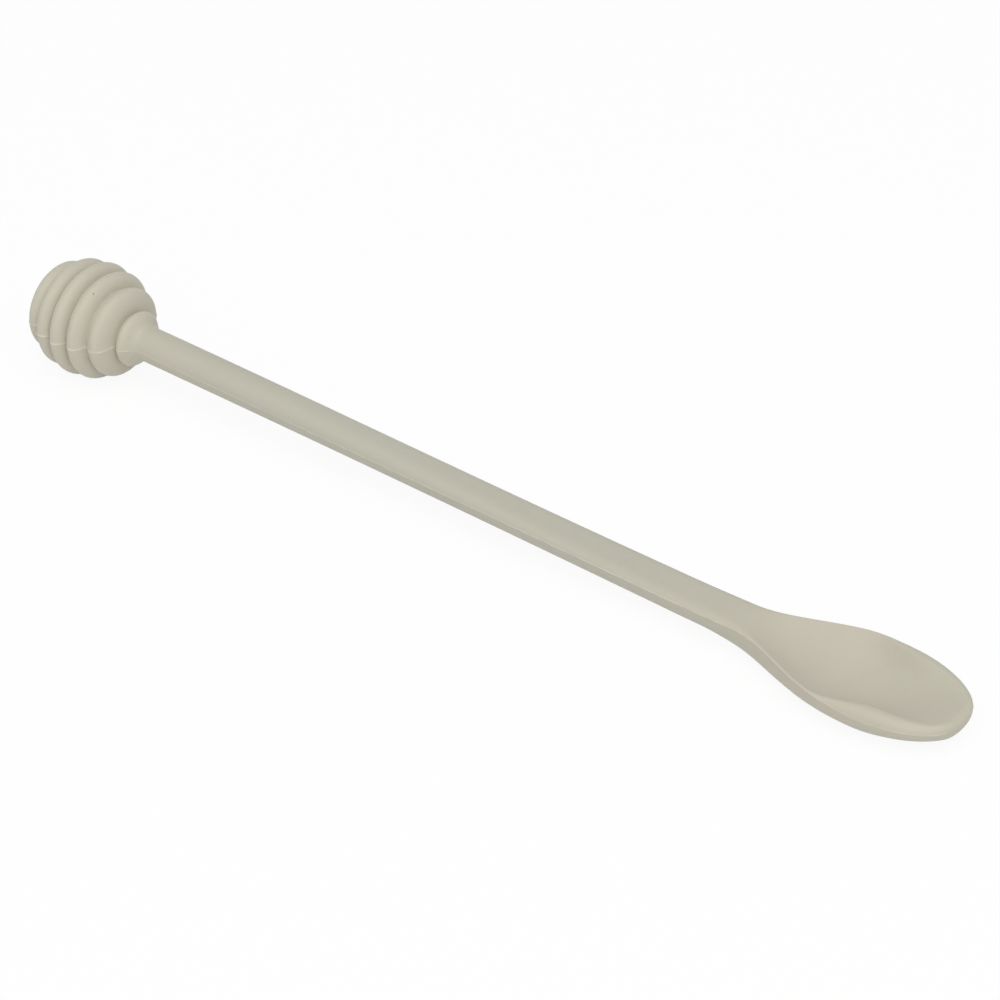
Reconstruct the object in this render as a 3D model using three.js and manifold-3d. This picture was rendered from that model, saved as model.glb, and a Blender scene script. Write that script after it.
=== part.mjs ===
// Honey spoon: a ribbed dipper ball and an oval spoon bowl at the two ends of one slim handle.
// The silicone is moulded in two halves round a stiff core of rod, blade and hub.
// Millimetres, +Z up. The spoon is drawn along +X from the middle of the ball, with the mould's
// parting plane at z = 0, and is then laid down so that ball and bowl both rest on z = 0.

import * as THREE from 'three';
import { mergeVertices } from 'three/addons/utils/BufferGeometryUtils.js';
import Module from 'manifold-3d';

// Dipper ball: an egg-shaped envelope with round ribs and steep grooves
const BALL_RADIUS = 15;
const BALL_HALF_LENGTH = 16.8;
const RIB_PITCH = 5.23;
const RIBS_EACH_SIDE = 2;
const GROOVE_DEPTH = 3;
const END_DOME_LENGTH = 4.2;
const END_DOME_RADIUS = 7.2;

// Collar that flares the handle out against the ball
const COLLAR_RADIUS = 7.3;
const COLLAR_GAP = 3;
const COLLAR_HALF_WIDTH = 1.8;
const COLLAR_FLARE = 4;
const FLARE_POWER = 1.4;
const CREASE_RADIUS = 5.6;

// Handle: round at the ball, wider and flatter on top where it meets the bowl
const HANDLE_RADIUS = 4.5;
const HANDLE_LENGTH = 179.5;
const NECK_WIDTH = 10.4;
const NECK_CROWN = 1.1;
const NECK_BELLY = 6.2;
const NECK_LIP = 2.4;

// Spoon bowl: its rim is thin at the back and a thick rounded lip at the front, and the land is
// the edge between the parting line and the hollow
const BOWL_WIDTH = 28.4;
const NECK_LENGTH = 32.3;
const TIP_LENGTH = 27.2;
const TIP_POWER = 2.4;
const BOWL_BELLY = 9.65;
const BELLY_LEAD = 16.8;
const TIP_BELLY = 3;
const BELLY_FULLNESS = 2.2;
const RIM_RISE = 0.45;
const RIM_DROP = 1.3;
const BACK_RIM = 0.3;
const BACK_LIP = 0.8;
const BACK_LAND = 0.3;
const FRONT_RIM = 2.7;
const FRONT_LIP = 2;
const FRONT_LAND = 3.4;
const TIP_RIM = 1.7;
const TIP_LAND = 1.5;
const HOLLOW_DEPTH = 5.6;
const HOLLOW_LEAD = 3;
const HOLLOW_BACK = 34;
const HOLLOW_FADE = 1.5;
const BACK_FULLNESS = 2;
const FRONT_FULLNESS = 2.4;

// How far before and after the neck and the widest place the belly and the rim change
const HEEL_LEAD = 9;
const RISE_LEAD = 16;
const NECK_LEAD = 4;
const NECK_TAIL = 12;
const WIDE_LEAD = 6;
const WIDE_TAIL = 10;

// Core and clearances
const ROD_RADIUS = 1.6;
const ROD_EMBED = 6.7;
const LAP_LENGTH = 12;
const BLADE_THICKNESS = 1;
const BLADE_REACH = 33;
const BLADE_ROUNDING = 14;
const BLADE_INSET = 5;
const TANG_WIDTH = 2.8;
const HUB_RADIUS = 7.5;
const HUB_HALF_LENGTH = 9.5;
const HUB_POWER = 4;
const FIT = 0.3;
const SEAM_GAP = 0.3;

// Mesh fineness
const ARC_STEPS = 16;
const SEAM_STEPS = 8;
const RIB_STEPS = 3;
const RIB_SWEEP = THREE.MathUtils.degToRad(72);
const DOME_STEPS = 5;
const FLARE_STEPS = 6;
const HANDLE_STEPS = 8;
const RISE_STEPS = 5;
const NECK_STEPS = 14;
const TIP_STEPS = 12;
const TIP_SWEEP = THREE.MathUtils.degToRad(86);
const ROUND_SIDES = 20;
const MERGE_DISTANCE = 1e-4;

// Power that makes a section's edge a circle or an ellipse
const CIRCLE = 2;

// Places along the handle that follow from the sizes above
const lastRibX = RIBS_EACH_SIDE * RIB_PITCH;
const creaseX = lastRibX + COLLAR_GAP;
const collarX = creaseX + COLLAR_HALF_WIDTH;
const handleX = collarX + COLLAR_FLARE;
const neckX = handleX + HANDLE_LENGTH;
const riseX = neckX - RISE_LEAD;
const wideX = neckX + NECK_LENGTH;
const tipX = wideX + TIP_LENGTH;
const lowX = wideX - BELLY_LEAD;
const deepestX = wideX + HOLLOW_LEAD;
const domeX = -lastRibX - RIB_PITCH / 2;
const rodEndX = neckX - FIT;
const lapX = rodEndX - LAP_LENGTH;

const mix = THREE.MathUtils.lerp;
const ease = (x, from, to) => THREE.MathUtils.smoothstep(x, from, to);
const steps = (count) => Array.from({ length: count + 1 }, (_, k) => k / count);

// Ball and collar as round stations, from the far end to the handle

const envelope = (x) => BALL_RADIUS * Math.sqrt(1 - (x / BALL_HALF_LENGTH) ** 2);
const grooveRadius = (x) => envelope(x) - GROOVE_DEPTH;

// One flank of a rib: a rounded crest that ends in a steep groove wall
function flank(crestX, crest, footX, foot, count) {
  const floor = Math.cos(RIB_SWEEP);
  return steps(count).map((t) => {
    const angle = t * RIB_SWEEP;
    const x = mix(crestX, footX, Math.sin(angle) / Math.sin(RIB_SWEEP));
    return { x, r: mix(foot, crest, (Math.cos(angle) - floor) / (1 - floor)) };
  });
}

function ballProfile() {
  const profile = [];
  for (const t of steps(DOME_STEPS).slice(1, -1)) {
    const angle = (1 - t) * Math.PI / 2;
    profile.push({ x: domeX - END_DOME_LENGTH * Math.sin(angle), r: END_DOME_RADIUS * Math.cos(angle) });
  }
  for (let i = -RIBS_EACH_SIDE; i <= RIBS_EACH_SIDE; i += 1) {
    const crestX = i * RIB_PITCH;
    const backX = crestX - RIB_PITCH / 2;
    const frontX = crestX + RIB_PITCH / 2;
    const crest = envelope(crestX);
    profile.push(...flank(crestX, crest, backX, grooveRadius(backX), RIB_STEPS).reverse());
    if (i < RIBS_EACH_SIDE) {
      profile.push(...flank(crestX, crest, frontX, grooveRadius(frontX), RIB_STEPS).slice(1, -1));
    }
  }
  const lastCrest = envelope(lastRibX);
  profile.push(...flank(lastRibX, lastCrest, creaseX, CREASE_RADIUS, RIB_STEPS + 1).slice(1));
  profile.push(...flank(collarX, COLLAR_RADIUS, creaseX, CREASE_RADIUS, RIB_STEPS).reverse().slice(1));
  for (const t of steps(FLARE_STEPS).slice(1, -1)) {
    const flare = ((1 + Math.cos(Math.PI * t)) / 2) ** FLARE_POWER;
    profile.push({ x: collarX + COLLAR_FLARE * t, r: mix(HANDLE_RADIUS, COLLAR_RADIUS, flare) });
  }
  return profile;
}

// Handle and bowl as stations with a half width, a crown above the parting line and a belly below

const alongHandle = (x) => (x - handleX) / HANDLE_LENGTH;
const intoBowl = (x) => ease(x, neckX - NECK_LEAD, neckX + NECK_TAIL);
const intoTip = (x) => ease(x, wideX - WIDE_LEAD, wideX + WIDE_TAIL);
const pastEnd = (x) => Math.min(1, Math.max(0, (x - tipX + FRONT_LIP) / FRONT_LIP));
const endRounding = (x) => Math.sqrt(1 - pastEnd(x) ** 2);

// The parting line rises a little at the neck and drops toward the tip
function partingHeight(x) {
  return RIM_RISE * ease(x, riseX, neckX + NECK_TAIL) - RIM_DROP * intoTip(x);
}

function halfWidth(x) {
  if (x < neckX) return mix(HANDLE_RADIUS, NECK_WIDTH / 2, alongHandle(x) ** 2);
  if (x < wideX) return mix(NECK_WIDTH, BOWL_WIDTH, ease(x, neckX, wideX)) / 2;
  const along = Math.min(1, (x - wideX) / TIP_LENGTH);
  return BOWL_WIDTH / 2 * (1 - along ** TIP_POWER) ** (1 / TIP_POWER);
}

function crownHeight(x) {
  const neck = mix(HANDLE_RADIUS, NECK_CROWN, ease(x, handleX, neckX));
  const front = mix(FRONT_RIM, TIP_RIM, ease(x, wideX + WIDE_TAIL, tipX));
  return mix(mix(neck, BACK_RIM, intoBowl(x)), front, intoTip(x)) * endRounding(x);
}

function bellyDepth(x) {
  const neck = mix(HANDLE_RADIUS, NECK_BELLY, Math.min(1, alongHandle(x)) ** 2);
  if (x < lowX) return mix(neck, BOWL_BELLY, ease(x, neckX - HEEL_LEAD, lowX));
  return mix(BOWL_BELLY, TIP_BELLY, ((x - lowX) / (tipX - lowX)) ** 2) * endRounding(x);
}

function lipRadius(x) {
  const neck = mix(halfWidth(x), NECK_LIP, ease(x, handleX, neckX));
  return Math.min(halfWidth(x), mix(mix(neck, BACK_LIP, intoBowl(x)), FRONT_LIP, intoTip(x)));
}

// Depth of the hollow under the rim: a dish from side to side that fades out toward neck and tip
function hollowDepth(x, y) {
  const reach = x < deepestX ? HOLLOW_BACK : tipX - TIP_LAND - deepestX;
  const frontLand = mix(FRONT_LAND, TIP_LAND, ease(x, wideX + WIDE_TAIL, tipX));
  const land = mix(BACK_LAND, frontLand, intoTip(x));
  const sideways = Math.abs(y) / Math.max(BACK_LAND, halfWidth(x) - land);
  const lengthways = Math.abs(x - deepestX) / reach;
  const dish = Math.max(0, 1 - sideways ** mix(BACK_FULLNESS, FRONT_FULLNESS, intoTip(x)));
  return HOLLOW_DEPTH * dish * Math.max(0, 1 - lengthways ** 2) ** HOLLOW_FADE;
}

function roundStation({ x, r }) {
  return { x, w: r, crown: r, belly: r, fullness: CIRCLE, lip: r, base: 0 };
}

function spoonStation(x) {
  return {
    x,
    w: halfWidth(x),
    crown: crownHeight(x),
    belly: bellyDepth(x),
    fullness: mix(CIRCLE, BELLY_FULLNESS, ease(x, neckX, lowX)),
    lip: lipRadius(x),
    base: partingHeight(x),
  };
}

function allStations() {
  const places = steps(HANDLE_STEPS).map((t) => mix(handleX, riseX, t));
  places.push(...steps(RISE_STEPS).slice(1).map((t) => mix(riseX, neckX, t)));
  places.push(...steps(NECK_STEPS).slice(1).map((t) => mix(neckX, wideX, t)));
  for (const t of steps(TIP_STEPS).slice(1)) {
    places.push(wideX + TIP_LENGTH * Math.sin(t * TIP_SWEEP) ** (2 / TIP_POWER));
  }
  return [...ballProfile().map(roundStation), ...places.map(spoonStation)];
}

// Heights across one station, for a place y between the near side (-w) and the far side (+w).
// The seam between the two silicone halves lies midway in the wall.

const shoulder = (s, y) => Math.sqrt(1 - Math.max(0, (Math.abs(y) - s.w + s.lip) / s.lip) ** 2);
const swell = (s, y) => Math.max(0, 1 - Math.abs(y / s.w) ** s.fullness) ** (1 / s.fullness);
const topHeight = (s, y) => s.base + mix(SEAM_GAP / 2, s.crown, shoulder(s, y)) - hollowDepth(s.x, y);
const bottomHeight = (s, y) => s.base - mix(SEAM_GAP / 2, s.belly, swell(s, y));
const seamHeight = (s, y) => (topHeight(s, y) + bottomHeight(s, y)) / 2;

// Points across a station at one of these heights, close together near both edges
function curve(s, height, halfSpan, count) {
  const places = steps(count).map((t) => -halfSpan * Math.cos(Math.PI * t));
  return places.map((y) => new THREE.Vector3(s.x, y, height(s, y)));
}

const topCurve = (s) => curve(s, topHeight, s.w, ARC_STEPS);
const bottomCurve = (s) => curve(s, bottomHeight, s.w, ARC_STEPS);
const seamCurve = (s, lift) => curve(s, (_, y) => seamHeight(s, y) + lift, s.w, SEAM_STEPS);

// A quad's two triangles, split along its shorter diagonal, so that facing surfaces fold alike
function split(points, a, b, c, d) {
  const first = points[a].distanceTo(points[c]);
  const second = points[b].distanceTo(points[d]);
  return first < second ? [a, b, c, a, c, d] : [a, b, d, d, b, c];
}

// Closed surface through rings of equal length, drawn in to one point at each end
function loft(rings, firstPole, lastPole) {
  const count = rings[0].length;
  const points = [firstPole, ...rings.flat(), lastPole];
  const last = points.length - 1;
  const at = (ring, k) => 1 + ring * count + k % count;
  const index = [];
  for (let k = 0; k < count; k += 1) {
    index.push(0, at(0, k), at(0, k + 1));
    for (let i = 0; i + 1 < rings.length; i += 1) {
      index.push(...split(points, at(i, k), at(i + 1, k), at(i + 1, k + 1), at(i, k + 1)));
    }
    index.push(last, at(rings.length - 1, k + 1), at(rings.length - 1, k));
  }
  const geometry = new THREE.BufferGeometry().setFromPoints(points);
  geometry.setIndex(index);
  return geometry;
}

// Solids for joining and cutting

const wasm = await Module();
wasm.setup();

function toSolid(geometry) {
  const bare = geometry.clone();
  bare.deleteAttribute('normal');
  bare.deleteAttribute('uv');
  const merged = mergeVertices(bare, MERGE_DISTANCE);
  const vertProperties = Float32Array.from(merged.attributes.position.array);
  const triVerts = Uint32Array.from(merged.index.array);
  return new wasm.Manifold(new wasm.Mesh({ numProp: 3, vertProperties, triVerts }));
}

function toMesh(name, solid, material) {
  const { vertProperties, triVerts } = solid.getMesh();
  const geometry = new THREE.BufferGeometry();
  geometry.setAttribute('position', new THREE.BufferAttribute(Float32Array.from(vertProperties), 3));
  geometry.setIndex(new THREE.BufferAttribute(Uint32Array.from(triVerts), 1));
  geometry.computeVertexNormals();
  const mesh = new THREE.Mesh(geometry, material);
  mesh.name = name;
  return mesh;
}

// Core pieces. Each takes a margin, so that the same shape also cuts its seat in the silicone.

// The rod slopes a little, so that its end lies just above the blade's tang
const tangTop = seamHeight(spoonStation(rodEndX), TANG_WIDTH / 2) + BLADE_THICKNESS / 2;
const rodSlope = (tangTop + FIT) / rodEndX;

function layRod(geometry) {
  geometry.rotateY(-Math.atan(rodSlope));
  return toSolid(geometry);
}

function rodGeometry(margin) {
  const radius = ROD_RADIUS + margin;
  const startX = -ROD_EMBED - margin;
  const endX = rodEndX + margin;
  const rod = new THREE.CylinderGeometry(radius, radius, endX - startX, ROUND_SIDES);
  rod.rotateZ(Math.PI / 2);
  rod.translate((startX + endX) / 2, 0, 0);
  return rod;
}

const rodSolid = (margin) => layRod(rodGeometry(margin));

// The rod's end keeps only its upper half, which lies on the tang
function lappedRod() {
  const wide = 4 * ROD_RADIUS;
  const lap = new THREE.BoxGeometry(LAP_LENGTH + wide, wide, wide);
  lap.translate(lapX + (LAP_LENGTH + wide) / 2, 0, -wide / 2);
  return rodSolid(0).subtract(layRod(lap));
}

// Height of the blade: its tang runs along the rod, and the rest lies midway in the bowl's wall
function bladeHeight(x, y) {
  return seamHeight(spoonStation(Math.max(x, rodEndX)), y) + rodSlope * Math.min(0, x - rodEndX);
}

// The blade widens with the bowl and ends in a round tip under the hollow
function bladeSolid(margin) {
  const startX = lapX + FIT - margin;
  const endX = neckX + BLADE_REACH + margin;
  const roundX = endX - BLADE_ROUNDING;
  const half = BLADE_THICKNESS / 2 + margin;
  const places = [startX, ...steps(HANDLE_STEPS).map((t) => mix(rodEndX, roundX, t))];
  places.push(...steps(TIP_STEPS).slice(1).map((t) => mix(roundX, endX, Math.sin(t * TIP_SWEEP))));
  const rings = places.map((x) => {
    const s = spoonStation(x);
    const plan = Math.max(TANG_WIDTH / 2, s.w - BLADE_INSET) + margin;
    const reach = plan * Math.sqrt(1 - Math.max(0, (x - roundX) / BLADE_ROUNDING) ** 2);
    const face = (lift) => curve(s, (_, y) => bladeHeight(x, y) + lift, reach, SEAM_STEPS);
    return [...face(half), ...face(-half).reverse()];
  });
  const pole = (x) => new THREE.Vector3(x, 0, bladeHeight(x, 0));
  return toSolid(loft(rings, pole(startX), pole(places.at(-1))));
}

function hubSolid(margin, bored) {
  const radius = HUB_RADIUS + margin;
  const length = HUB_HALF_LENGTH + margin;
  const bulge = (value) => Math.sign(value) * Math.abs(value) ** (2 / HUB_POWER);
  const outline = steps(2 * DOME_STEPS).map((t) => {
    const angle = Math.PI * (t - 0.5);
    return new THREE.Vector2(radius * bulge(Math.cos(angle)), length * bulge(Math.sin(angle)));
  });
  outline[0].x = 0;
  outline.at(-1).x = 0;
  const hub = new THREE.LatheGeometry(outline, ROUND_SIDES);
  hub.rotateZ(-Math.PI / 2);
  return bored ? toSolid(hub).subtract(rodSolid(FIT)) : toSolid(hub);
}

// The two silicone halves, with the seats of the core cut out of both

function jacket(upperCurve, lowerCurve, lift) {
  const rings = allStations().map((s) => [...upperCurve(s), ...lowerCurve(s).slice(1, -1).reverse()]);
  const farEnd = new THREE.Vector3(domeX - END_DOME_LENGTH, 0, lift);
  const tip = new THREE.Vector3(tipX, 0, lift + partingHeight(tipX));
  const outside = toSolid(loft(rings, farEnd, tip));
  return outside.subtract(hubSolid(FIT, false)).subtract(rodSolid(FIT)).subtract(bladeSolid(FIT));
}

const upperJacket = jacket(topCurve, (s) => seamCurve(s, SEAM_GAP / 2), SEAM_GAP / 2);
const lowerJacket = jacket((s) => seamCurve(s, -SEAM_GAP / 2), bottomCurve, -SEAM_GAP / 2);

// Materials
const silicone = new THREE.MeshStandardMaterial({ color: '#bebaaa', roughness: 0.72, metalness: 0 });
const steel = new THREE.MeshStandardMaterial({ color: '#b4b6b8', roughness: 0.35, metalness: 1 });
const nylon = new THREE.MeshStandardMaterial({ color: '#e4e0d4', roughness: 0.5, metalness: 0 });

// Assembly, laid down so that the ball's widest rib and the bowl's belly are level
const spoon = new THREE.Group();
spoon.add(toMesh('upper_jacket', upperJacket, silicone));
spoon.add(toMesh('lower_jacket', lowerJacket, silicone));
spoon.add(toMesh('core_rod', lappedRod(), steel));
spoon.add(toMesh('bowl_blade', bladeSolid(0), steel));
spoon.add(toMesh('dipper_hub', hubSolid(0, true), nylon));
spoon.rotation.y = Math.atan2(BALL_RADIUS - BOWL_BELLY + partingHeight(lowX), lowX);

const part = new THREE.Group();
part.add(spoon);
const box = new THREE.Box3().setFromObject(part, true);
const middle = box.getCenter(new THREE.Vector3());
spoon.position.set(-middle.x, -middle.y, -box.min.z);

export default part;
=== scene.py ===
# %% [markdown]
# # A honey spoon in soft silicone
# The object is a moulded kitchen tool: a ribbed dipper ball on one end of a slim handle and a
# tasting spoon on the other. Inside lies a stiff core that nobody sees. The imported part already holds
# every piece at its true size, so this lesson only makes what the eye meets: the silicone skin in
# fine detail, its finish, the camera, the floor and the light.

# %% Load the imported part
import math

import bmesh
import bpy
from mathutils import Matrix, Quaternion, Vector


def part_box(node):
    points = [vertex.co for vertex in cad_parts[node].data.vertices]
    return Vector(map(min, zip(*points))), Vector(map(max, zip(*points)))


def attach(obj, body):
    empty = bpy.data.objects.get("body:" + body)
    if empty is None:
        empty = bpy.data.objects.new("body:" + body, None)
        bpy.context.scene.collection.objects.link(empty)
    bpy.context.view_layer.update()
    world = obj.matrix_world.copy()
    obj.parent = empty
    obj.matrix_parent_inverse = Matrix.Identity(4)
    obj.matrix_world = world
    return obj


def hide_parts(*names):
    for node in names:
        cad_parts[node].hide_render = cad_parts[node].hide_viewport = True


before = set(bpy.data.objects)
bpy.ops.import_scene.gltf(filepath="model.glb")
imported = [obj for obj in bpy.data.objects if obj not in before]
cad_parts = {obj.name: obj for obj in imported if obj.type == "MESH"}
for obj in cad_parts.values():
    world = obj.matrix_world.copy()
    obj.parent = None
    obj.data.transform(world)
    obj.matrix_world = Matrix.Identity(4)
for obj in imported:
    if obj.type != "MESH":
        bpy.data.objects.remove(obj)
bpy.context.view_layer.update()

# %% [markdown]
# ## Where the spoon lies
# It is easiest to model the spoon along the X axis, with the middle of the ball at the origin and the
# mould's parting plane at z = 0. The real one lies tilted on its ball and on the belly of its bowl.
# The nylon hub sits in the middle of the ball, so its box tells where the ball belongs. The skin is
# modelled level and laid down at the end, which keeps every formula simple.

# %% Sizes of the ball, the collar and the handle
MM = 0.001
BALL_RADIUS = 15 * MM
BALL_HALF_LENGTH = 16.8 * MM
RIB_PITCH = 5.23 * MM
RIBS_EACH_SIDE = 2
GROOVE_DEPTH = 3 * MM
END_DOME_LENGTH = 4.2 * MM
END_DOME_RADIUS = 7.2 * MM
COLLAR_RADIUS = 7.3 * MM
COLLAR_GAP = 3 * MM
COLLAR_HALF_WIDTH = 1.8 * MM
COLLAR_FLARE = 4 * MM
FLARE_POWER = 1.4
CREASE_RADIUS = 5.6 * MM
HANDLE_RADIUS = 4.5 * MM
HANDLE_LENGTH = 179.5 * MM

last_rib_x = RIBS_EACH_SIDE * RIB_PITCH
crease_x = last_rib_x + COLLAR_GAP
collar_x = crease_x + COLLAR_HALF_WIDTH
handle_x = collar_x + COLLAR_FLARE
neck_x = handle_x + HANDLE_LENGTH
dome_x = -last_rib_x - RIB_PITCH / 2

hub_low, hub_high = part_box("dipper_hub")
ball_centre = (hub_low + hub_high) / 2
print("Middle of the ball in mm:", [round(1000 * place, 2) for place in ball_centre])

# %% [markdown]
# ## The camera
# The camera comes first, because every later look is judged through it. The photograph was taken from
# the spoon's near side, a third of the way up, through a long lens. A camera is placed by the direction
# from the object to it, the point that it aims at and the distance between them.

# %% Camera
AZIMUTH = math.radians(38.245)
ELEVATION = math.radians(35.045)
ROLL = math.radians(-0.987)
AIM = Vector((8.689, 1.335, 12)) * MM
DISTANCE = 848.58 * MM
LENS = 129.6
FAR_CLIP = 20


def direction(azimuth, elevation):
    level = math.cos(elevation)
    return Vector((math.sin(azimuth) * level, -math.cos(azimuth) * level, math.sin(elevation)))


toward_camera = direction(AZIMUTH, ELEVATION)
bpy.ops.object.camera_add(location=AIM + DISTANCE * toward_camera)
camera = bpy.context.object
upright = toward_camera.to_track_quat("Z", "Y")
camera.rotation_euler = (upright @ Quaternion((0, 0, 1), ROLL)).to_euler()
camera.data.lens = LENS
camera.data.clip_end = FAR_CLIP
bpy.context.scene.camera = camera
print("Camera at", [round(place, 3) for place in camera.location])

# %% [markdown]
# ## The turned end
# The ball, its ribs and the collar are round about the handle's axis, as if turned on a lathe. Such a
# shape could be stacked from spheres and rings, but the grooves would never blend. Drawing one half
# profile and spinning it round gives the whole end at once. Each rib is a pair of flanks: an arc that
# starts level at the crest and falls steeply into the groove.

# %% Half profile of the ball and the collar
RIB_STEPS = 6
RIB_SWEEP = math.radians(72)
DOME_STEPS = 8
FLARE_STEPS = 9


def mix(start, stop, share):
    return start + (stop - start) * share


def ease(place, start, stop):
    share = min(1, max(0, (place - start) / (stop - start)))
    return share * share * (3 - 2 * share)


def envelope(x):
    return BALL_RADIUS * math.sqrt(1 - (x / BALL_HALF_LENGTH) ** 2)


def flank(crest_x, crest, foot_x, foot, count):
    floor = math.cos(RIB_SWEEP)
    points = []
    for step in range(count + 1):
        angle = RIB_SWEEP * step / count
        along = math.sin(angle) / math.sin(RIB_SWEEP)
        height = (math.cos(angle) - floor) / (1 - floor)
        points.append((mix(crest_x, foot_x, along), mix(foot, crest, height)))
    return points


def dome():
    points = []
    for step in range(DOME_STEPS):
        angle = math.pi / 2 * step / DOME_STEPS
        x = dome_x - END_DOME_LENGTH * math.cos(angle)
        points.append((x, END_DOME_RADIUS * math.sin(angle)))
    return points


def ribs():
    points = []
    for number in range(-RIBS_EACH_SIDE, RIBS_EACH_SIDE + 1):
        crest_x = number * RIB_PITCH
        crest = envelope(crest_x)
        back_x = crest_x - RIB_PITCH / 2
        front_x = crest_x + RIB_PITCH / 2
        points += flank(crest_x, crest, back_x, envelope(back_x) - GROOVE_DEPTH, RIB_STEPS)[::-1]
        if number < RIBS_EACH_SIDE:
            points += flank(crest_x, crest, front_x, envelope(front_x) - GROOVE_DEPTH, RIB_STEPS)[1:-1]
    return points


def collar():
    points = flank(last_rib_x, envelope(last_rib_x), crease_x, CREASE_RADIUS, RIB_STEPS + 3)[1:]
    points += flank(collar_x, COLLAR_RADIUS, crease_x, CREASE_RADIUS, RIB_STEPS)[::-1][1:]
    for step in range(1, FLARE_STEPS + 1):
        share = step / FLARE_STEPS
        flare = ((1 + math.cos(math.pi * share)) / 2) ** FLARE_POWER
        points.append((collar_x + COLLAR_FLARE * share, mix(HANDLE_RADIUS, COLLAR_RADIUS, flare)))
    return points


profile = [Vector((x, -radius, 0)) for x, radius in dome() + ribs() + collar()]
print("Profile points:", len(profile))

# %% [markdown]
# ## Drawing and spinning the profile
# By hand one would add any mesh, merge it to a single vertex and extrude that vertex from point to
# point. The same operators do it here. The profile is drawn on the near side of the parting plane, so
# after the spin two columns of edges lie exactly where the two halves of the mould met.

# %% Spin the turned end
COLUMNS = 64
MERGE_DISTANCE = 0.001 * MM

bpy.ops.object.select_all(action="DESELECT")
bpy.ops.mesh.primitive_plane_add(size=HANDLE_RADIUS)
skin = bpy.context.object
skin.name = "silicone_skin"
skin.data.name = "silicone_skin"
bpy.ops.object.mode_set(mode="EDIT")
bpy.ops.mesh.select_all(action="SELECT")
bpy.ops.mesh.merge(type="CENTER")
bpy.ops.transform.translate(value=profile[0])
for start, stop in zip(profile, profile[1:]):
    bpy.ops.mesh.extrude_region_move(TRANSFORM_OT_translate={"value": stop - start})
bpy.ops.mesh.select_all(action="SELECT")
bpy.ops.mesh.spin(steps=COLUMNS, angle=math.tau, center=(0, 0, 0), axis=(1, 0, 0))
bpy.ops.mesh.select_all(action="SELECT")
bpy.ops.mesh.remove_doubles(threshold=MERGE_DISTANCE)
print("Turned end:", len(bmesh.from_edit_mesh(skin.data).verts), "vertices")

# %% [markdown]
# ## The handle and the bowl
# The rest of the skin grows out of the open ring at the end of the collar: the ring is extruded along
# the handle again and again, like pulling a stocking over it, and the last ring is drawn together to
# a point. That makes a plain tube. Its rings lie closer together round the bowl and closest at the tip,
# where the surface turns fastest.

# %% Pull the ring along to the tip
NECK_LENGTH = 32.3 * MM
TIP_LENGTH = 27.2 * MM
TIP_POWER = 2.4
HANDLE_RINGS = 118
NECK_RINGS = 30
TIP_RINGS = 34

wide_x = neck_x + NECK_LENGTH
tip_x = wide_x + TIP_LENGTH


def ring_places():
    places = [mix(handle_x, neck_x, step / HANDLE_RINGS) for step in range(HANDLE_RINGS + 1)]
    places += [mix(neck_x, wide_x, step / NECK_RINGS) for step in range(1, NECK_RINGS + 1)]
    for step in range(1, TIP_RINGS + 1):
        turn = math.pi / 2 * step / TIP_RINGS
        places.append(wide_x + TIP_LENGTH * math.sin(turn) ** (2 / TIP_POWER))
    return places


def select_where(test):
    shape = bmesh.from_edit_mesh(bpy.context.edit_object.data)
    bpy.ops.mesh.select_all(action="DESELECT")
    for vertex in shape.verts:
        vertex.select = test(vertex.co)
    shape.select_flush(True)
    bmesh.update_edit_mesh(bpy.context.edit_object.data)


places = ring_places()
select_where(lambda co: co.x > handle_x - MERGE_DISTANCE)
for start, stop in zip(places, places[1:]):
    bpy.ops.mesh.extrude_region_move(TRANSFORM_OT_translate={"value": (stop - start, 0, 0)})
bpy.ops.mesh.merge(type="CENTER")
bpy.ops.mesh.select_all(action="SELECT")
bpy.ops.mesh.normals_make_consistent(inside=False)
print("Tube:", len(bmesh.from_edit_mesh(skin.data).faces), "faces")

# %% [markdown]
# ## Pressing the tube into its sections
# The handle is round at the ball, and towards the spoon it gets wider and flatter on top. The bowl
# is a smooth dish. Its rim is thin at the back, where the dish starts right at the parting line, and
# grows into a thick rounded lip at the front. No single operator gives that, so the tube's vertices
# are moved in code: each keeps its place along the handle and its angle round it, and takes its height
# from a formula for that section. The formulas are the same as the solid part's, so skin and part
# agree everywhere.

# %% How the rim changes along the bowl
RIM_RISE = 0.45 * MM
RIM_DROP = 1.3 * MM
RISE_LEAD = 16 * MM
NECK_LEAD = 4 * MM
NECK_TAIL = 12 * MM
WIDE_LEAD = 6 * MM
WIDE_TAIL = 10 * MM
FRONT_LIP = 2 * MM


def along_handle(x):
    return (x - handle_x) / HANDLE_LENGTH


def into_bowl(x):
    return ease(x, neck_x - NECK_LEAD, neck_x + NECK_TAIL)


def into_tip(x):
    return ease(x, wide_x - WIDE_LEAD, wide_x + WIDE_TAIL)


def end_rounding(x):
    past = min(1, max(0, (x - tip_x + FRONT_LIP) / FRONT_LIP))
    return math.sqrt(1 - past ** 2)


def parting_height(x):
    return RIM_RISE * ease(x, neck_x - RISE_LEAD, neck_x + NECK_TAIL) - RIM_DROP * into_tip(x)


print("Parting line at the tip in mm:", round(1000 * parting_height(tip_x), 2))

# %% Widths and depths of the handle and the bowl
NECK_WIDTH = 10.4 * MM
NECK_CROWN = 1.1 * MM
NECK_BELLY = 6.2 * MM
NECK_LIP = 2.4 * MM
BOWL_WIDTH = 28.4 * MM
BOWL_BELLY = 9.65 * MM
BELLY_LEAD = 16.8 * MM
HEEL_LEAD = 9 * MM
TIP_BELLY = 3 * MM
BELLY_FULLNESS = 2.2
BACK_RIM = 0.3 * MM
BACK_LIP = 0.8 * MM
FRONT_RIM = 2.7 * MM
TIP_RIM = 1.7 * MM
CIRCLE = 2

low_x = wide_x - BELLY_LEAD


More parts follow.
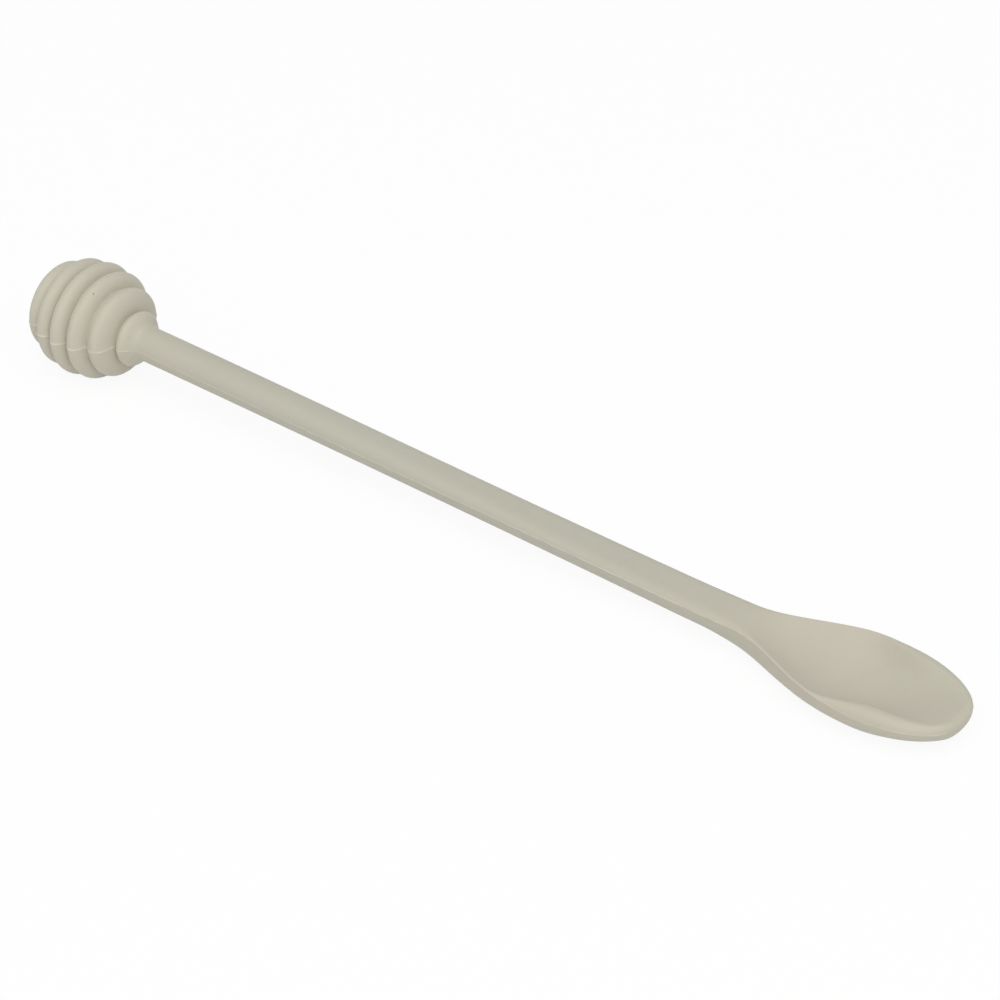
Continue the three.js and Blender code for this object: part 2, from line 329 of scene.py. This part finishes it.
def half_width(x):
    if x < neck_x:
        return mix(HANDLE_RADIUS, NECK_WIDTH / 2, along_handle(x) ** 2)
    if x < wide_x:
        return mix(NECK_WIDTH, BOWL_WIDTH, ease(x, neck_x, wide_x)) / 2
    along = min(1, (x - wide_x) / TIP_LENGTH)
    return BOWL_WIDTH / 2 * (1 - along ** TIP_POWER) ** (1 / TIP_POWER)


def crown_height(x):
    neck = mix(HANDLE_RADIUS, NECK_CROWN, ease(x, handle_x, neck_x))
    front = mix(FRONT_RIM, TIP_RIM, ease(x, wide_x + WIDE_TAIL, tip_x))
    return mix(mix(neck, BACK_RIM, into_bowl(x)), front, into_tip(x)) * end_rounding(x)


def belly_depth(x):
    neck = mix(HANDLE_RADIUS, NECK_BELLY, min(1, along_handle(x)) ** 2)
    if x < low_x:
        return mix(neck, BOWL_BELLY, ease(x, neck_x - HEEL_LEAD, low_x))
    return mix(BOWL_BELLY, TIP_BELLY, ((x - low_x) / (tip_x - low_x)) ** 2) * end_rounding(x)


def lip_radius(x):
    neck = mix(half_width(x), NECK_LIP, ease(x, handle_x, neck_x))
    return min(half_width(x), mix(mix(neck, BACK_LIP, into_bowl(x)), FRONT_LIP, into_tip(x)))


print("Bowl is", round(2000 * half_width(wide_x), 1), "mm wide")

# %% Hollow of the bowl and the finished sections
BACK_LAND = 0.3 * MM
FRONT_LAND = 3.4 * MM
TIP_LAND = 1.5 * MM
BACK_FULLNESS = 2
FRONT_FULLNESS = 2.4
HOLLOW_DEPTH = 5.6 * MM
HOLLOW_LEAD = 3 * MM
HOLLOW_BACK = 34 * MM
HOLLOW_FADE = 1.5


def hollow_depth(x, y):
    deepest_x = wide_x + HOLLOW_LEAD
    reach = HOLLOW_BACK if x < deepest_x else tip_x - TIP_LAND - deepest_x
    front_land = mix(FRONT_LAND, TIP_LAND, ease(x, wide_x + WIDE_TAIL, tip_x))
    land = mix(BACK_LAND, front_land, into_tip(x))
    sideways = abs(y) / max(BACK_LAND, half_width(x) - land)
    lengthways = abs(x - deepest_x) / reach
    dish = max(0, 1 - sideways ** mix(BACK_FULLNESS, FRONT_FULLNESS, into_tip(x)))
    return HOLLOW_DEPTH * dish * max(0, 1 - lengthways ** 2) ** HOLLOW_FADE


def top_height(x, y):
    width = half_width(x)
    lip = lip_radius(x)
    past = max(0, (abs(y) - width + lip) / max(lip, MERGE_DISTANCE))
    return crown_height(x) * math.sqrt(max(0, 1 - past ** 2)) - hollow_depth(x, y)


def bottom_height(x, y):
    fullness = mix(CIRCLE, BELLY_FULLNESS, ease(x, neck_x, low_x))
    share = min(1, abs(y) / max(half_width(x), MERGE_DISTANCE))
    return -belly_depth(x) * (1 - share ** fullness) ** (1 / fullness)


def section_point(x, angle):
    y = half_width(x) * math.cos(angle)
    height = top_height(x, y) if math.sin(angle) > 0 else bottom_height(x, y)
    return Vector((x, y, parting_height(x) + height))


bpy.ops.object.mode_set(mode="OBJECT")
for vertex in skin.data.vertices:
    if vertex.co.x > handle_x + MERGE_DISTANCE:
        vertex.co = section_point(vertex.co.x, math.atan2(vertex.co.z, vertex.co.y))
print("Hollow is", round(1000 * HOLLOW_DEPTH, 1), "mm deep under the rim")

# %% [markdown]
# ## An air bubble
# Silicone is poured or pressed into its mould, and now and then an air bubble is trapped at the wall
# and leaves a tiny pit. There is one on the second rib. A dark dot in the material would stay flat, so
# the nearest vertex is slid to the bubble's place, its corner is cut off with a bevel and the small
# face that this leaves is pushed in. The later smoothing makes it round.
# Its floor is also marked, and the finish paints it darker: painted shade in the recess.

# %% Press the pit
PIT_X = 6.38 * MM
PIT_FROM_AXIS = 13.73 * MM
PIT_ANGLE = math.radians(113.5)
PIT_RADIUS = 0.3 * MM
PIT_WALL = 0.04 * MM
PIT_DEPTH = 0.4 * MM


def mark_selected(name, strength):
    shape = bmesh.from_edit_mesh(skin.data)
    mark = shape.verts.layers.float.new(name)
    for vertex in shape.verts:
        vertex[mark] = strength(vertex.co) if vertex.select else 0
    bmesh.update_edit_mesh(skin.data)


pit = PIT_FROM_AXIS * Vector((0, math.cos(PIT_ANGLE), math.sin(PIT_ANGLE)))
pit.x = PIT_X
nearest = min((vertex.co.copy() for vertex in skin.data.vertices), key=lambda co: (co - pit).length)
bpy.ops.object.mode_set(mode="EDIT")
select_where(lambda co: (co - nearest).length < MERGE_DISTANCE)
bpy.ops.transform.translate(value=pit - nearest)
bpy.ops.mesh.bevel(offset=PIT_RADIUS, affect="VERTICES")
bpy.ops.mesh.inset(thickness=PIT_WALL, depth=-PIT_DEPTH)
# Mark the pit's floor for its painted shade.
mark_selected("pit", lambda co: 1)
print("Pit pressed", round(1000 * PIT_DEPTH, 2), "mm deep")

# %% [markdown]
# ## The mould's parting line
# Where the two halves of the mould met, a hair of silicone crept between them and stayed as a fine
# raised line along both sides. It could be painted on, but a raised line catches the light and is there
# from every side. The edges on the parting plane are bevelled into two narrow strips, and the line
# between the strips is pushed outwards, a little unevenly, because such flash never is even. Its
# vertices are also marked in an attribute, so that the finish can paint a highlight on this thin edge:
# a paler colour where the ridge catches the light. The painted highlight is full on the ribs,
# grows from faint to clear along the handle and is faint again round the bowl, where the flash was
# trimmed off closely.

# %% Raise the flash
FLASH_HALF_WIDTH = 0.2 * MM
FLASH_HEIGHT = 0.16 * MM
FLASH_UNEVENNESS = 0.08 * MM
FLASH_SEED = 7
FLASH_FROM_POLE = 1.2 * MM
FAINT_FLASH = 0.3
CLEAR_FLASH = 0.8
LEVEL_TOLERANCE = 0.03 * MM


def on_parting_line(co):
    if not dome_x - END_DOME_LENGTH / 2 < co.x < tip_x - FLASH_FROM_POLE:
        return False
    level = abs(co.z - parting_height(co.x)) < LEVEL_TOLERANCE
    if co.x < handle_x:
        return level
    return level and abs(co.y) > half_width(co.x) - FLASH_HALF_WIDTH


def flash_strength(co):
    if co.x < collar_x:
        return 1
    on_handle = mix(FAINT_FLASH, CLEAR_FLASH, ease(co.x, handle_x, neck_x))
    return mix(on_handle, FAINT_FLASH, into_bowl(co.x))


select_where(on_parting_line)
bpy.ops.mesh.bevel(offset=FLASH_HALF_WIDTH, segments=2, affect="EDGES", clamp_overlap=False)
select_where(on_parting_line)
mark_selected("flash", flash_strength)
line_vertices = sum(vertex.select for vertex in bmesh.from_edit_mesh(skin.data).verts)
bpy.ops.transform.shrink_fatten(value=FLASH_HEIGHT)
bpy.ops.transform.vertex_random(offset=FLASH_UNEVENNESS, normal=1, seed=FLASH_SEED)
print("Vertices on the parting line:", line_vertices)

# %% [markdown]
# ## Smoothing and laying down
# Moulded silicone has no facets and no crisp edge anywhere, so one level of subdivision rounds the whole
# skin. Then it is laid down as the real spoon lies: tilted until the ball's widest rib and the bowl's
# belly touch the table together.

# %% Finish the skin's mesh
bpy.ops.object.mode_set(mode="OBJECT")
bpy.ops.object.modifier_add(type="SUBSURF")
skin.modifiers[-1].levels = 1
skin.modifiers[-1].render_levels = 1
bpy.ops.object.modifier_apply(modifier=skin.modifiers[-1].name)
bpy.ops.object.shade_smooth()
belly_level = parting_height(low_x) - BOWL_BELLY
skin.rotation_euler.y = math.atan2(BALL_RADIUS + belly_level, low_x)
skin.location = ball_centre
bpy.ops.object.transform_apply(location=True, rotation=True, scale=True)
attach(skin, "root")
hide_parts("upper_jacket", "lower_jacket")
print("Skin:", len(skin.data.polygons), "faces")

# %% [markdown]
# ## Grain that every finish shares
# Nothing that comes out of a mould or a mill is one even colour. Three scales of unevenness make a
# surface believable: broad patches, fine grain and a few specks. All finishes here need them, with other
# sizes, so they are built once as a node group with named sockets. The group only puts out masks, and
# each material decides what to do with them.

# %% Node helpers and the grain group
PATCH_RANGE = (0.32, 0.68)
GRAIN_RANGE = (0.25, 0.75)
SPECK_RANGE = (0.03, 0.06)


def place_node(tree, kind, values=None, **settings):
    node = tree.nodes.new(kind)
    for name, value in settings.items():
        setattr(node, name, value)
    for name, value in (values or {}).items():
        node.inputs[name].default_value = value
    return node


def stretch(tree, source, low, high, start, stop):
    node = place_node(tree, "ShaderNodeMapRange")
    for name, value in zip(("From Min", "From Max", "To Min", "To Max"), (low, high, start, stop)):
        node.inputs[name].default_value = value
    tree.links.new(source, node.inputs["Value"])
    return node.outputs["Result"]


def build_grain():
    group = bpy.data.node_groups.new("surface_grain", "ShaderNodeTree")
    group.interface.new_socket(name="Place", in_out="INPUT", socket_type="NodeSocketVector")
    for name in ("Patch Scale", "Grain Scale", "Speck Scale"):
        group.interface.new_socket(name=name, in_out="INPUT", socket_type="NodeSocketFloat")
    for name in ("Patches", "Grain", "Specks"):
        group.interface.new_socket(name=name, in_out="OUTPUT", socket_type="NodeSocketFloat")
    enter = place_node(group, "NodeGroupInput")
    leave = place_node(group, "NodeGroupOutput")
    patches = place_node(group, "ShaderNodeTexNoise", {"Detail": 2, "Roughness": 0.5})
    grain = place_node(group, "ShaderNodeTexNoise", {"Detail": 3, "Roughness": 0.6})
    specks = place_node(group, "ShaderNodeTexVoronoi", {"Randomness": 1})
    for node, size in ((patches, "Patch Scale"), (grain, "Grain Scale"), (specks, "Speck Scale")):
        group.links.new(enter.outputs["Place"], node.inputs["Vector"])
        group.links.new(enter.outputs[size], node.inputs["Scale"])
    group.links.new(stretch(group, patches.outputs["Fac"], *PATCH_RANGE, 0, 1), leave.inputs["Patches"])
    group.links.new(stretch(group, grain.outputs["Fac"], *GRAIN_RANGE, 0, 1), leave.inputs["Grain"])
    group.links.new(stretch(group, specks.outputs["Distance"], *SPECK_RANGE, 1, 0), leave.inputs["Specks"])
    return group


grain_group = build_grain()
print("Grain group gives", [socket.name for socket in grain_group.interface.items_tree][-3:])

# %% [markdown]
# ## Matte silicone
# The skin is a warm grey-beige that leans to pink in some places and to green in others, with a soft,
# powdery surface. A plain matte colour looks like clay. Here two close tones drift into each other, the
# fine grain lifts and lowers the surface by a few hundredths of a millimetre, and a little sheen gives
# the dusty edge that silicone shows. Light also wanders a short way into silicone, which softens the
# grooves, and that is what the subsurface values are for. The handle between the ball and the bowl is
# made a little cooler and darker. The ball is painted paler: painted light that stands in for more light
# on the ball than the lamps give. The flash line gets a painted highlight and the pit's floor painted
# shade.

# %% Silicone
ROSY = (0.535, 0.497, 0.41, 1)
GREENISH = (0.502, 0.488, 0.396, 1)
# Painted highlight: the paler colour of the thin flash ridge.
FLASH_HIGHLIGHT = (0.74, 0.71, 0.61, 1)
DUSTY = (0.4, 0.375, 0.3, 1)
# Painted shade: the darker floor of the pit.
PIT_PAINTED_SHADE = (0.3, 0.27, 0.22, 1)
# The handle is cooler and darker between the ball and the bowl.
DARK_HANDLE_TONE = (0.483, 0.472, 0.394, 1)
# Painted light: the ball is painted paler, standing in for more light on it.
BALL_PAINTED_LIGHT = (0.565, 0.535, 0.441, 1)
BALL_LIGHT_ENDS = (-108 * MM, -100 * MM)
BALL_LIGHT_SHARE = 0.6
DARK_HANDLE_STARTS = (-105 * MM, -80 * MM)
DARK_HANDLE_ENDS = (50 * MM, 85 * MM)
DARK_HANDLE_SHARE = 0.8
GRAIN_SHARE = 0.1
SPECK_SHARE = 0.25
TICK_SCALE = 420
TICK_RANGE = (0.4, 0.6)
TICK_LOW = 0.3
ROUGHNESS = (0.55, 0.66)


def start_material(name):
    material = bpy.data.materials.new(name)
    material.use_nodes = True
    tree = material.node_tree
    return material, tree, tree.nodes["Principled BSDF"]


def add_grain(tree, patch, grain, speck, squeeze=(1, 1, 1)):
    coordinates = place_node(tree, "ShaderNodeTexCoord")
    mapping = place_node(tree, "ShaderNodeMapping", {"Scale": squeeze})
    masks = place_node(tree, "ShaderNodeGroup", node_tree=grain_group)
    masks.inputs["Patch Scale"].default_value = patch
    masks.inputs["Grain Scale"].default_value = grain
    masks.inputs["Speck Scale"].default_value = speck
    tree.links.new(coordinates.outputs["Object"], mapping.inputs["Vector"])
    tree.links.new(mapping.outputs["Vector"], masks.inputs["Place"])
    return masks.outputs


def blend(tree, share, first, second):
    node = place_node(tree, "ShaderNodeMix", data_type="RGBA")
    sockets = [socket for socket in node.inputs if socket.enabled]
    for socket, value in zip(sockets, (share, first, second)):
        if isinstance(value, bpy.types.NodeSocket):
            tree.links.new(value, socket)
        else:
            socket.default_value = value
    return next(socket for socket in node.outputs if socket.enabled)


def times(tree, first, second):
    node = place_node(tree, "ShaderNodeMath", operation="MULTIPLY")
    tree.links.new(first, node.inputs[0])
    tree.links.new(second, node.inputs[1])
    return node.outputs["Value"]


def add_bump(tree, shader, height, strength, distance):
    bump = place_node(tree, "ShaderNodeBump", {"Strength": strength, "Distance": distance})
    tree.links.new(height, bump.inputs["Height"])
    tree.links.new(bump.outputs["Normal"], shader.inputs["Normal"])


def dress(piece, material):
    piece.data.materials.clear()
    piece.data.materials.append(material)


silicone, tree, shader = start_material("matte_silicone")
masks = add_grain(tree, patch=32, grain=1600, speck=160)
flash = place_node(tree, "ShaderNodeAttribute", attribute_name="flash").outputs["Fac"]
place = place_node(tree, "ShaderNodeTexCoord").outputs["Object"]
ticks = place_node(tree, "ShaderNodeTexNoise", {"Scale": TICK_SCALE, "Detail": 1})
tree.links.new(place, ticks.inputs["Vector"])
# Painted highlight along the flash line, broken up by fine noise.
flash_highlight = times(tree, flash, stretch(tree, ticks.outputs["Fac"], *TICK_RANGE, TICK_LOW, 1))
axes = place_node(tree, "ShaderNodeSeparateXYZ")
tree.links.new(place, axes.inputs["Vector"])
# Where the painted light on the ball is laid, fading out past the ball.
painted_ball_light = stretch(tree, axes.outputs["X"], *BALL_LIGHT_ENDS, BALL_LIGHT_SHARE, 0)
after_ball = stretch(tree, axes.outputs["X"], *DARK_HANDLE_STARTS, 0, DARK_HANDLE_SHARE)
before_bowl = stretch(tree, axes.outputs["X"], *DARK_HANDLE_ENDS, 1, 0)
pit_shade_mask = place_node(tree, "ShaderNodeAttribute", attribute_name="pit").outputs["Fac"]
tone = blend(tree, masks["Patches"], GREENISH, ROSY)
# Cooler, darker tone along the handle between the ball and the bowl.
tone = blend(tree, times(tree, after_ball, before_bowl), tone, DARK_HANDLE_TONE)
# Paint the light on the ball.
tone = blend(tree, painted_ball_light, tone, BALL_PAINTED_LIGHT)
tone = blend(tree, stretch(tree, masks["Grain"], 0, 1, 0, GRAIN_SHARE), tone, DUSTY)
tone = blend(tree, stretch(tree, masks["Specks"], 0, 1, 0, SPECK_SHARE), tone, DUSTY)
# Paint the highlight on the flash line.
tone = blend(tree, flash_highlight, tone, FLASH_HIGHLIGHT)
# Paint shade on the pit's floor.
tone = blend(tree, pit_shade_mask, tone, PIT_PAINTED_SHADE)
tree.links.new(tone, shader.inputs["Base Color"])
tree.links.new(stretch(tree, masks["Patches"], 0, 1, *ROUGHNESS), shader.inputs["Roughness"])
add_bump(tree, shader, masks["Grain"], 0.2, 0.05 * MM)
shader.inputs["Specular IOR Level"].default_value = 0.3
shader.inputs["Sheen Weight"].default_value = 0.1
shader.inputs["Sheen Roughness"].default_value = 0.5
shader.inputs["Subsurface Weight"].default_value = 0.2
shader.inputs["Subsurface Radius"].default_value = (1, 0.8, 0.6)
shader.inputs["Subsurface Scale"].default_value = 1.5 * MM
dress(skin, silicone)
print("Silicone dressed on", skin.name)

# %% [markdown]
# ## The hidden core
# Nobody sees the core in the finished spoon, but the part can be taken apart, and then the rod, the blade
# and the hub show. The rod and the blade are brushed along their length, so the grain is squeezed into
# long streaks that change both tone and roughness. The hub is moulded nylon, a creamy plastic with faint
# clouds in it.

# %% Steel and nylon
STEEL_DARK = (0.4, 0.41, 0.42, 1)
STEEL_LIGHT = (0.52, 0.53, 0.54, 1)
NYLON_DARK = (0.74, 0.71, 0.62, 1)
NYLON_LIGHT = (0.81, 0.78, 0.69, 1)
STEEL_ROUGHNESS = (0.42, 0.28)
NYLON_ROUGHNESS = (0.45, 0.56)
WEAR_SHARE = 0.3
BRUSHED = (0.04, 1, 1)

steel, tree, shader = start_material("brushed_steel")
masks = add_grain(tree, patch=60, grain=3000, speck=200, squeeze=BRUSHED)
streaks = blend(tree, masks["Grain"], STEEL_DARK, STEEL_LIGHT)
worn = blend(tree, stretch(tree, masks["Patches"], 0, 1, 0, WEAR_SHARE), streaks, STEEL_LIGHT)
tree.links.new(worn, shader.inputs["Base Color"])
tree.links.new(stretch(tree, masks["Grain"], 0, 1, *STEEL_ROUGHNESS), shader.inputs["Roughness"])
add_bump(tree, shader, masks["Grain"], 0.15, 0.02 * MM)
shader.inputs["Metallic"].default_value = 1
for name in ("core_rod", "bowl_blade"):
    dress(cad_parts[name], steel)

nylon, tree, shader = start_material("moulded_nylon")
masks = add_grain(tree, patch=90, grain=1200, speck=140)
clouds = blend(tree, masks["Patches"], NYLON_DARK, NYLON_LIGHT)
speckled = blend(tree, stretch(tree, masks["Specks"], 0, 1, 0, WEAR_SHARE), clouds, NYLON_DARK)
tree.links.new(speckled, shader.inputs["Base Color"])
tree.links.new(stretch(tree, masks["Grain"], 0, 1, *NYLON_ROUGHNESS), shader.inputs["Roughness"])
add_bump(tree, shader, masks["Grain"], 0.15, 0.04 * MM)
dress(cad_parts["dipper_hub"], nylon)
print("Core dressed in", steel.name, "and", nylon.name)

# %% [markdown]
# ## Floor and light
# The photograph shows the spoon on pure white in very soft light. More light would bleach the spoon, so
# the white comes from the floor itself: to the eye of the camera most of it glows, at the strength of
# plain white, and the rest is matte paper, which keeps a faint shadow under the spoon. The light comes
# from one big soft box high behind the camera, because the parts that face up and to the camera are the
# brightest ones, and from an even sky that opens the grooves.

# %% Floor
FLOOR_SIZE = 8
FLOOR_GLOW = 0.92
PAPER = (0.92, 0.92, 0.92, 1)
WHITE = (1, 1, 1, 1)


def seen_directly(tree):
    rays = place_node(tree, "ShaderNodeLightPath")
    first = place_node(tree, "ShaderNodeMath", operation="MAXIMUM")
    second = place_node(tree, "ShaderNodeMath", operation="MAXIMUM")
    tree.links.new(rays.outputs["Is Camera Ray"], first.inputs[0])
    tree.links.new(rays.outputs["Is Glossy Ray"], first.inputs[1])
    tree.links.new(first.outputs["Value"], second.inputs[0])
    tree.links.new(rays.outputs["Is Transmission Ray"], second.inputs[1])
    return second.outputs["Value"]


bpy.ops.object.select_all(action="DESELECT")
bpy.ops.mesh.primitive_plane_add(size=FLOOR_SIZE)
floor = bpy.context.object
floor.name = "floor"
paper, tree, shader = start_material("white_paper")
shader.inputs["Base Color"].default_value = PAPER
shader.inputs["Roughness"].default_value = 0.9
shader.inputs["Specular IOR Level"].default_value = 0.1
glow = place_node(tree, "ShaderNodeEmission", {"Color": WHITE, "Strength": 1})
share = place_node(tree, "ShaderNodeMixShader")
tree.links.new(stretch(tree, seen_directly(tree), 0, 1, 0, FLOOR_GLOW), share.inputs["Fac"])
tree.links.new(shader.outputs["BSDF"], share.inputs[1])
tree.links.new(glow.outputs["Emission"], share.inputs[2])
tree.links.new(share.outputs["Shader"], tree.nodes["Material Output"].inputs["Surface"])
dress(floor, paper)
print("Floor is", FLOOR_SIZE, "m wide")

# %% Sky and soft box
SKY_STRENGTH = 0.42
BOX_ELEVATION = math.radians(58)
BOX_DISTANCE = 2.6
BOX_SIZE = 2.4
BOX_WATTS = 54

sky = bpy.data.worlds.new("soft_sky")
bpy.context.scene.world = sky
sky.use_nodes = True
tree = sky.node_tree
background = tree.nodes["Background"]
background.inputs["Color"].default_value = WHITE
tree.links.new(stretch(tree, seen_directly(tree), 0, 1, SKY_STRENGTH, 1), background.inputs["Strength"])
toward_box = direction(AZIMUTH, BOX_ELEVATION)
bpy.ops.object.light_add(type="AREA", location=BOX_DISTANCE * toward_box)
soft_box = bpy.context.object
soft_box.rotation_euler = toward_box.to_track_quat("Z", "Y").to_euler()
soft_box.data.size = BOX_SIZE
soft_box.data.energy = BOX_WATTS
bpy.context.scene.view_settings.view_transform = "Standard"
print("Sky", SKY_STRENGTH, "and soft box", BOX_WATTS, "W")
